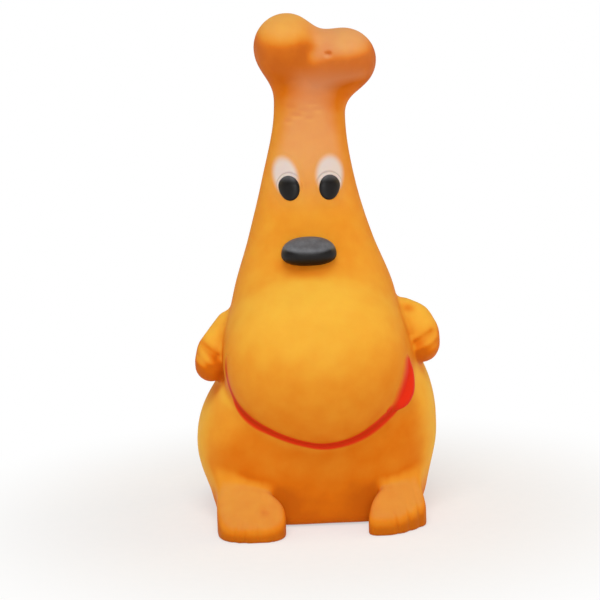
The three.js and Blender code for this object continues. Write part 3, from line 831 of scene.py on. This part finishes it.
def within(name, value):
    return smoothStep(*shade[name], value)


def comesIn(name, value):
    share, low, high = shade[name]
    return share * smoothStep(low, high, value)


def patchShade(points, patch):
    on = smoothStep(*patch["fade"], ovalShare(points, patch["middle"], patch["half"]))
    return patch["share"] * on * (points[:, 1] < patch["ahead"])


def paintedShadowReach(points, normals):
    # how open a place is, for painted shade in creases, and how much light gets past what overhangs it,
    # for painted shadow
    openness, unshadowed = 0, 1
    for reach in shade["creaseReach"]:
        spots = points + normals * reach
        room = np.clip(np.minimum(castField(*spots.T), spots[:, 2]) / reach, 0, 1)
        openness = openness + room / len(shade["creaseReach"])
    for reach in shade["shadowReach"]:
        clear = castField(*(points + normals + np.array(shade["paintedLightFrom"]) * reach).T)
        unshadowed = np.minimum(unshadowed, shade["shadowLeast"] + clear / (shade["shadowSoft"] * reach))
    return openness, np.clip(unshadowed, 0, 1)


def skinMarks(points, normals):
    # painted shade low in creases, under overhangs and at the foot of the casting, painted light high
    # on bulges that face up
    x, y, z = points.T
    aside, upward = normals[:, 0], normals[:, 2]
    facing = normals @ np.array(shade["paintedLightFrom"])
    openness, unshadowed = paintedShadowReach(points, normals)
    onMuzzle = 1 - within("muzzleEdge", pebble(x, y, z, *skin["muzzle"]))
    nearArm = np.minimum(armField(x, y, z, arms["left"]), armField(x, y, z, arms["right"]))
    onArm = 1 - within("armEdge", nearArm)
    plain = (1 - onMuzzle) * (1 - onArm)
    rightward = within("towardsRight", x)

    # painted light where the skin faces the light and is out of its shadow
    value = (comesIn("faced", facing) + comesIn("upward", facing)) * unshadowed + shade["bare"]
    value = value + onMuzzle * (comesIn("muzzle", facing) - comesIn("muzzleRight", aside))
    abovePaw = z - np.where(x < 0, arms["left"]["paw"][2], arms["right"]["paw"][2])
    value = value + onArm * comesIn("arm", facing) * within("armAbovePaw", abovePaw)
    pawUnder = np.where(x < 0, *shade["pawUnder"])
    value = value - onArm * pawUnder * within("pawUnderFrom", abovePaw)
    for side in ("left", "right"):
        start, end, _ = arms[side]["grooves"][0]
        gap = grooveGap(x, z, start, end) / shade["cuffHalf"]
        value = value - onArm * shade["cuff"] * np.exp(-gap ** 2)
    value = value + plain * patchShade(points, shade["belowArm"]) - patchShade(points, shade["underNose"])
    value = value + plain * comesIn("side", np.abs(aside)) * within("sideTop", z)
    hip = np.where(x < 0, comesIn("hipLeft", -aside), comesIn("hipRight", aside))
    hip = hip * within("hipTop", z) * within("hipFoot", z)
    value = value + plain * hip * within("hipBack", y)
    value = value - shade["creased"] * (1 - openness) - comesIn("lowFront", z)
    value = value - comesIn("knobFront", z) * within("knobShadow", facing)
    value = value - comesIn("rightKnob", z) * rightward - pitted(x, y, z, pitShade)

    # painted pale sheen on neck, knobs and feet, and painted shade on the feet
    neck = comesIn("sheenNeck", z) * within("neckTop", z)
    bloom = neck * within("neckSides", np.abs(aside))
    leftKnob, rightKnob = shade["sheenKnobs"]
    knobs = (leftKnob + (rightKnob - leftKnob) * rightward) * within("knobsFrom", z)
    bloom = bloom + knobs * (shade["sheenUnder"] + comesIn("sheenUpward", facing))
    footTop = within("footSlope", upward) * within("footTop", z)
    bloom = bloom + shade["sheenFeet"] * footTop
    toes = comesIn("toeShade", upward) * within("toeShadeBelow", z) * (y < shade["toeShadeAhead"])
    grime = toes + shade["footTopShade"] * footTop
    return {"fullness": np.clip(value, 0, 1), "bloom": bloom * unshadowed, "grime": grime}


def carried(piece, node):
    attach(piece, "casting")
    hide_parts(node)


# the skin itself

points, quads, normals = meshOf(skinField, *skin["room"], skin["cell"])
latexSkin = meshPiece("latex_skin", points, quads, skinLatex, **skinMarks(points, normals))
print("latex skin:", len(points), "points")

# Squeezing dents the front of the muzzle and leaves its rim, smile and nose where they are; how much
# each point would give is worked out here but not used
dent = {"start": 0.12, "end": 0.82, "backLimit": 6.0}
apart = (points - muzzleCentre) / muzzleRadii
gives = 1 - smoothStep(dent["start"], dent["end"], np.hypot(apart[:, 0], apart[:, 2]))
gives *= points[:, 1] < muzzleCentre[1] - dent["backLimit"]
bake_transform(latexSkin)
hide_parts("latex_body", "muzzle_front")


# painted places

def onSkin(points, rounds=4):
    points = settle(castField, np.asarray(points, float), rounds)
    return points, normalsAt(castField, points)


def closedSheet(top, under, ring, inner):
    # faces of a thin closed form: its top, the same turned over below, and a wall round the rim
    count = len(top)
    faces = [tuple(f) for f in inner] + [tuple(i + count for i in reversed(f)) for f in inner]
    faces += [(a, a + count, b + count, b) for a, b in zip(ring, ring[1:] + ring[:1])]
    return np.concatenate([top, under]), faces


def bothSides(marks):
    # the same marks for the top and the underside of a closed sheet
    return {label: np.tile(values.ravel(), 2) for label, values in marks.items()}


def facePatch(centre, half, lean, rings, around):
    # points on the skin in rings about a place on the face, and the faces between them
    c, s = math.cos(math.radians(lean)), math.sin(math.radians(lean))
    share = np.concatenate([[0.0], np.repeat(np.arange(1, rings + 1) / rings, around)])
    angle = np.concatenate([[0.0], np.tile(np.arange(around) * 2 * math.pi / around, rings)])
    u, v = share * np.cos(angle) * half[0], share * np.sin(angle) * half[1]
    x, z = centre[0] + c * u + s * v, centre[1] + c * v - s * u
    base, up = onSkin(facePoint(x, z, castField))
    faces = [(0, 1 + i, 1 + (i + 1) % around) for i in range(around)]
    for r in range(rings - 1):
        a, b = 1 + r * around, 1 + (r + 1) * around
        faces += [(a + i, b + i, b + (i + 1) % around, a + (i + 1) % around) for i in range(around)]
    rim = [1 + (rings - 1) * around + i for i in range(around)]
    return base, up, share, faces, rim


# Eyes: a moulded boss carries each domed pupil, and the white is sprayed over its upper part
eyes = {
    "patch": (6.4, 10.4),
    "patchNet": (44, 96),  # rings and points round each
    "film": 0.14,
    "edgeDrop": 0.08,
    "sunk": 0.7,
    "feather": (0.3, 0.18),  # inside and outside the oval, as shares of it
    "bossRise": 0.7,
    "bossEdge": 0.07,
    "bossFoot": (-3, 2),
    "whiteEnd": (1.5, 5.5),  # where the white thins out below the pupil's middle
    # painted shade in a thin arc along the boss's edge above the pupil
    "seam": 0.5,
    "seamAt": 1.03,
    "seamHalf": 0.055,
    "seamFoot": (-1, 2),
    "pupilNet": (18, 64),
    "pupilDome": 1.25,
    "pupilRound": 2.4,
    "pupilFoot": (0.084, 0.35),  # how far the dome's edge stands out and goes in
    # painted grey highlight on the upper part of each pupil
    "pupilDust": (0.6, 0.35, 0.95),
    "left": {
        "middle": (-8.8, 119.6),
        "white": (-9.3, 120.8),
        "half": (4.3, 7.0),
        "lean": -12,
        "pupil": (-8.1, 116.9),
        "pupilHalf": (3.55, 4.25),
        "boss": (4.3, 5.2),
    },
    "right": {
        "middle": (5.9, 119.5),
        "white": (6.0, 121.2),
        "half": (4.9, 6.7),
        "lean": 2,
        "pupil": (5.55, 116.85),
        "pupilHalf": (3.6, 4.3),
        "boss": (4.6, 5.3),
    },
}


def eyePieces(side):
    eye = eyes[side]

    def lidRise(spots):
        # the boss stands out over the pupil and dies away below it
        return eyes["bossRise"] * smoothStep(*eyes["bossFoot"], spots[:, 2] - eye["pupil"][1])

    base, up, share, faces, rim = facePatch(eye["middle"], eyes["patch"], eye["lean"], *eyes["patchNet"])
    onBoss = ovalShare(base, eye["pupil"], eye["boss"])
    raised = lidRise(base) * (1 - smoothStep(1 - eyes["bossEdge"], 1 + eyes["bossEdge"], onBoss))
    height = eyes["film"] * (1 - share ** 8) + raised - eyes["edgeDrop"] * share ** 8
    onWhite = ovalShare(base, eye["white"], eye["half"], eye["lean"])
    inside, outside = eyes["feather"]
    paint = 1 - smoothStep(1 - inside, 1 + outside, onWhite)
    below = eye["pupil"][1] - base[:, 2]
    paint *= 1 - smoothStep(*eyes["whiteEnd"], below)
    # painted shade in an arc along the boss's edge
    seam = eyes["seam"] * np.exp(-((onBoss - eyes["seamAt"]) / eyes["seamHalf"]) ** 2) * paint
    seam *= smoothStep(*eyes["seamFoot"], -below)
    spots, sides = closedSheet(base + up * height[:, None], base - up * eyes["sunk"], rim, faces)
    marks = bothSides({**skinMarks(base, up), "paint": paint, "seam": seam})
    piece = meshPiece(f"eye_paint_{side}", spots, sides, eyePaint, **marks)
    carried(piece, f"eye_white_{side}")

    base, up, share, faces, rim = facePatch(eye["pupil"], eye["pupilHalf"], 0, *eyes["pupilNet"])
    dome = eyes["pupilDome"] * np.sqrt(np.clip(1 - share ** eyes["pupilRound"], 0, 1))
    standsOut, goesIn = eyes["pupilFoot"]
    height = lidRise(base) + standsOut + dome
    spots, sides = closedSheet(base + up * height[:, None], base - up * goesIn, rim, faces)
    # painted grey highlight towards the pupil's top
    most, low, high = eyes["pupilDust"]
    dust = most * smoothStep(low, high, (base[:, 2] - eye["pupil"][1]) / eye["pupilHalf"][1])
    piece = meshPiece(f"pupil_dome_{side}", spots, sides, blackPaint, **bothSides({"dust": dust}))
    carried(piece, f"pupil_{side}")


for side in ("left", "right"):
    eyePieces(side)
print("eyes painted")

# Nose: a pebble with a flattened upper face, whose upward faces carry a painted grey highlight
nose = {
    "centre": (-2.45, 95.6),
    "radii": (9.5, 5.8, 5.0),
    "square": 2.4,
    "narrowing": 0.1,
    "facetLean": 50,
    "facetAt": 4.1,
    "facetEdge": 1.2,
    "dust": (0.85, 0.12, 0.55),
    "cell": 0.4,
}


def nosePiece():
    place = facePoint(*nose["centre"], castField)[0]
    tilt = math.radians(nose["facetLean"])

    def noseField(x, y, z):
        x = place[0] + (x - place[0]) * (1 + nose["narrowing"] * (z - place[2]) / nose["radii"][2])
        form = pebble(x, y, z, place, nose["radii"], square=nose["square"])
        ahead = -(y - place[1]) * math.cos(tilt) + (z - place[2]) * math.sin(tilt)
        return pare(form, nose["facetAt"] - ahead, nose["facetEdge"])

    room = np.array(nose["radii"]) + 3 * nose["cell"]
    points, quads, normals = meshOf(noseField, place - room, place + room, nose["cell"])
    # painted grey highlight on the faces that lean up
    most, low, high = nose["dust"]
    dust = most * smoothStep(low, high, normals[:, 2])
    carried(meshPiece("nose_pebble", points, quads, blackPaint, dust=dust), "nose")


nosePiece()
print("nose set")

# Smile paint: brushed along its groove. Lists are values by the share of its length from the left
smile = {
    "from": 170,
    "to": 335,
    "steps": 170,
    "across": 15,
    "halfWidths": [(0.0, 0.9), (0.12, 1.2), (0.3, 1.25), (0.6, 1.35), (1.0, 1.4)],
    "feather": 1.4,
    "strength": [(0.0, 0.0), (0.06, 0.7), (0.18, 1.0), (1.0, 1.0)],
    # painted shade down the middle of the groove
    "seam": [(0.0, 1.0), (0.25, 0.9), (0.45, 0.6), (1.0, 0.6)],
    "seamHalf": 0.34,  # as a share of the half width
    "core": 0.8,  # the part of the half width's middle that is solid
    "film": [(0.0, 0.1), (0.93, 0.1), (1.0, 0.0)],
    "edgeDrop": 0.1,
    "sunk": 0.5,
}


def smilePiece():
    share = np.linspace(0, 1, smile["steps"])

    def alongLength(name):
        return np.interp(share, *zip(*smile[name]))

    angles = smile["from"] + (smile["to"] - smile["from"]) * share
    out = np.interp(angles, smileFine, smileShares)
    turns = np.radians(angles)
    arc = np.stack([out * np.cos(turns), -np.sqrt(1 - out ** 2), out * np.sin(turns)], 1)
    line = muzzleCentre + arc * muzzleRadii
    for _ in range(14):  # straight back or forward onto the casting
        line[:, 1] += 0.7 * castField(*line.T)
    line, up = onSkin(line, 1)
    along = np.gradient(line, axis=0)
    outward = np.cross(along, up)
    outward /= np.linalg.norm(outward, axis=1, keepdims=True)
    core = alongLength("halfWidths")
    half = core + smile["feather"]
    across = np.linspace(-1, 1, smile["across"])
    spread = line[:, None] + outward[:, None] * across[None, :, None] * half[:, None, None]
    base, lift = onSkin((spread + up[:, None] * 0.6).reshape(-1, 3), 6)
    edge = np.abs(across)[None, :]
    solid = (core / half)[:, None] * smile["core"]
    paint = 1 - smoothStep(0, 1, (edge - solid) / (1 - solid))
    paint *= alongLength("strength")[:, None]
    height = (alongLength("film")[:, None] * (1 - edge ** 3) - smile["edgeDrop"] * edge ** 3).ravel()
    number = np.arange(len(base)).reshape(smile["steps"], smile["across"])
    inner = np.stack([number[:-1, :-1], number[1:, :-1], number[1:, 1:], number[:-1, 1:]], -1).reshape(-1, 4)
    ring = np.concatenate([number[:, 0], number[-1, 1:], number[-2::-1, -1], number[0, -2:0:-1]]).tolist()
    top, under = base + lift * height[:, None], base - lift * smile["sunk"]
    spots, faces = closedSheet(top, under, ring, inner.tolist())
    # painted shade down the middle of the groove
    seam = alongLength("seam")[:, None] * np.exp(-(edge / smile["seamHalf"]) ** 2) * paint
    marks = bothSides({**skinMarks(base, lift), "paint": paint, "seam": seam})
    carried(meshPiece("smile_paint", spots, faces, redPaint, **marks), "smile_line")


smilePiece()

# Tongue: a bump at the smile's right end as a run of x, z and radius, whose paint is feathered
# over the muzzle and ends crisply at the bump's outer side
tongue = {
    "run": [
        (24.4, 40.2, 0.2),
        (26.4, 41.2, 1.3),
        (28.5, 42.8, 2.3),
        (30.1, 45.7, 2.7),
        (31.0, 49.2, 2.2),
        (31.3, 53.2, 1.4),
        (31.0, 57.2, 0.35),
    ],
    "steps": 28,
    "sink": 0.5,
    "join": 1.2,
    "behind": 0.6,
    "feather": (3.0, 0.6),  # over the muzzle and at the outer side
    "featherFrom": (-1, 1),
    "edge": (-0.3, 0.9),  # where the paint thins out, as shares of the feather
    # painted shadow along the bump's crisp outer edge
    "seam": 0.8,
    "seamHalf": 0.5,
    "film": 0.16,
    "filmEdge": 2.0,
    "smileFade": 7,  # degrees over which the brushed smile ends in it
    "sunk": 0.7,
    "cell": 0.32,
}


def tonguePiece():
    corners = np.array(tongue["run"]).T
    fine = np.linspace(0, corners.shape[1] - 1, tongue["steps"])
    acrossX, upZ, radius = (eased(np.arange(corners.shape[1]), row, fine) for row in corners)
    run = facePoint(acrossX, upZ, castField) + np.outer(radius * tongue["sink"], (0, 1, 0))

    def ridge(x, y, z, share=1):
        # the bump, or with share 0 its outline seen from the front
        flat = np.array([1, share, 1])
        d = np.inf
        for start, end, startRadius, endRadius in zip(run * flat, run[1:] * flat, radius, radius[1:]):
            d = np.minimum(d, taper(x, y * share, z, start, end, startRadius, endRadius))
        return d

    def nearTongue(x, y, z):
        # how far outside the outline a place lies, more so on the flank behind the bump
        behind = y - np.interp(z, upZ, run[:, 1] + radius)
        return ridge(x, y, z, 0) + tongue["behind"] * np.maximum(behind, 0)

    def featherAt(x, z):
        over, outer = tongue["feather"]
        return over + (outer - over) * smoothStep(*tongue["featherFrom"], x - np.interp(z, upZ, acrossX))

    def tongueField(x, y, z):
        cast = castField(x, y, z)
        rim = nearTongue(x, y, z) - featherAt(x, z)
        film = tongue["film"] * (1 - 2 * smoothStep(-tongue["filmEdge"], 0, rim))
        top = meld(cast, ridge(x, y, z), tongue["join"]) - film
        return np.maximum(np.maximum(top, -cast - tongue["sunk"]), rim)

    points, quads, normals = meshOf(tongueField, run.min(0) - 6, run.max(0) + 6, tongue["cell"], 2)
    near = nearTongue(*points.T)
    feather = featherAt(points[:, 0], points[:, 2])
    paint = 1 - smoothStep(*tongue["edge"], near / feather)

    # the brushed smile runs on into it
    off, angle = fromSmile(points[:, 0], points[:, 2])
    core, smileGrooveShade = smile["halfWidths"][-1][1], smile["seam"][-1][1]
    half = core + smile["feather"]
    brushed = smoothStep(half, smile["core"] * core, np.abs(off))
    brushed = brushed * smoothStep(0, tongue["smileFade"], smile["to"] - angle)
    brushed = brushed * (points[:, 2] < muzzleCentre[2])
    paint = np.maximum(paint, brushed)
    crisp = smoothStep(*tongue["feather"], feather)
    # painted shadow along the bump's crisp edge, and the smile's painted groove shade running into it
    seam = tongue["seam"] * np.exp(-(castField(*points.T) / tongue["seamHalf"]) ** 2) * crisp * paint
    seam = np.maximum(seam, smileGrooveShade * np.exp(-(off / half / smile["seamHalf"]) ** 2) * brushed)
    marks = {**skinMarks(points, normals), "paint": paint, "seam": seam}
    carried(meshPiece("tongue_bump", points, quads, redPaint, **marks), "tongue")


tonguePiece()
print("smile and tongue painted")

# squeaker pieces keep their shapes and get real finishes
for node in ("squeaker_cup", "squeaker_lid", "reed_holder", "reed_clamp"):
    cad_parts[node].data.materials.clear()
    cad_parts[node].data.materials.append(squeakerPlastic)
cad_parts["reed"].data.materials.clear()
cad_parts["reed"].data.materials.append(reedFilm)

# studio

studio = {
    "floorHalf": 3.0,
    "card": ("F0EFED", "F6F5F3"),
    "fibreMm": 4.0,
    "litTo": 0.06,
    "whiteFrom": 0.16,
    "nearWhite": 0.5,
    "worldLight": 0.38,
    "aim": (0, 0, 0.08),
}


def studioFloor():
    # matt white card, lit near the toy so that its shadow shows, plain white to the eye further off
    material, tree = startMaterial("studio_card_matt_white")
    place = addNode(tree, "TexCoord").outputs["Object"]
    fibre = addNode(tree, "TexNoise", {"Scale": 1000 / studio["fibreMm"], "Detail": 3.0}, Vector=place)
    tone = addNode(tree, "ValToRGB", {"colours": studio["card"]}, Fac=fibre)
    card = addNode(
        tree, "BsdfPrincipled", {"Roughness": 0.9, "IOR": 1.45, "Specular IOR Level": 0.1},
        Base_Color=tone,
    )
    far = addNode(tree, "VectorMath", {"operation": "LENGTH"}, _0=place).outputs["Value"]
    away = addNode(
        tree, "MapRange",
        {
            "interpolation_type": "SMOOTHSTEP",
            "From Min": studio["litTo"],
            "From Max": studio["whiteFrom"],
            "To Min": studio["nearWhite"],
        },
        Value=far,
    )
    ray = addNode(tree, "LightPath")
    mirrored = addNode(
        tree, "Math", {"operation": "MAXIMUM"},
        _0=ray.outputs["Is Glossy Ray"], _1=ray.outputs["Is Transmission Ray"],
    )
    seen = addNode(tree, "Math", {"operation": "MAXIMUM"}, _0=ray.outputs["Is Camera Ray"], _1=mirrored)
    share = addNode(tree, "Math", {"operation": "MULTIPLY"}, _0=away, _1=seen)
    white = addNode(tree, "Emission", {"Color": linear("FFFFFF"), "Strength": 1.0})
    mixed = addNode(tree, "MixShader", _0=share, _1=card, _2=white)
    addNode(tree, "OutputMaterial", Surface=mixed)
    half = studio["floorHalf"]
    mesh = bpy.data.meshes.new("studio_floor")
    corners = [(-half, -half, 0), (half, -half, 0), (half, half, 0), (-half, half, 0)]
    mesh.from_pydata(corners, [], [(0, 1, 2, 3)])
    mesh.materials.append(material)
    floor = bpy.data.objects.new("studio_floor", mesh)
    bpy.context.scene.collection.objects.link(floor)


def studioWorld():
    world = bpy.data.worlds.new("studio")
    bpy.context.scene.world = world
    world.use_nodes = True
    tree = world.node_tree
    tree.nodes.clear()
    ray = addNode(tree, "LightPath")
    seen = addNode(
        tree, "Math", {"operation": "MAXIMUM"},
        _0=ray.outputs["Is Camera Ray"], _1=ray.outputs["Is Transmission Ray"],
    )
    strength = addNode(tree, "MapRange", {"To Min": studio["worldLight"], "To Max": 1.0}, Value=seen)
    back = addNode(tree, "Background", {"Color": linear("FFFFFF")}, Strength=strength)
    addNode(tree, "OutputWorld", Surface=back)


lamps = {
    "top": {"from": (-0.16, -0.80, 1.75), "size": 1.1, "watts": 13.4, "colour": "FFFFFF"},
    "front": {"from": (0.0, -1.05, 0.30), "size": 0.6, "watts": 3.3, "colour": "FFFFFF"},
    "left": {"from": (-0.80, 0.12, 0.35), "size": 0.5, "watts": 1.1, "colour": "FFE4B4"},
    "right": {"from": (0.80, 0.12, 0.35), "size": 0.5, "watts": 1.8, "colour": "FFDA98"},
}


def studioLamp(name, settings, aim):
    lamp = bpy.data.lights.new(name, "AREA")
    lamp.shape = "DISK"
    lamp.size = settings["size"]
    lamp.energy = settings["watts"]
    lamp.color = linear(settings["colour"])[:3]
    thing = bpy.data.objects.new(name, lamp)
    bpy.context.scene.collection.objects.link(thing)
    thing.location = settings["from"]
    thing.rotation_mode = "QUATERNION"
    thing.rotation_quaternion = (Vector(aim) - thing.location).to_track_quat("-Z", "Y")


studioFloor()
studioWorld()
for name, lamp in lamps.items():
    studioLamp(f"lamp_{name}", lamp, studio["aim"])

# camera at the photograph's viewing angle
view = {
    "target": (-5.5, -6.0, 76.3),
    "azimuth": -2.0,
    "elevation": 9.0,
    "distance": 600.0,
    "roll": -1.8,
    "lens": 101.0,
    "sensor": 36.0,
}


def photoCamera():
    a, e = math.radians(view["azimuth"]), math.radians(view["elevation"])
    back = Vector((math.sin(a) * math.cos(e), -math.cos(a) * math.cos(e), math.sin(e)))
    data = bpy.data.cameras.new("photo_view")
    data.sensor_width = view["sensor"]
    data.lens = view["lens"]
    camera = bpy.data.objects.new("photo_view", data)
    bpy.context.scene.collection.objects.link(camera)
    camera.location = Vector(toFrame(view["target"])) + back * (view["distance"] / 1000)
    roll = Matrix.Rotation(math.radians(view["roll"]), 3, "Z")
    turned = (-back).to_track_quat("-Z", "Y").to_matrix() @ roll
    camera.rotation_mode = "QUATERNION"
    camera.rotation_quaternion = turned.to_quaternion()
    bpy.context.scene.camera = camera


photoCamera()
bpy.context.scene.view_settings.view_transform = "Standard"
print("studio lit")
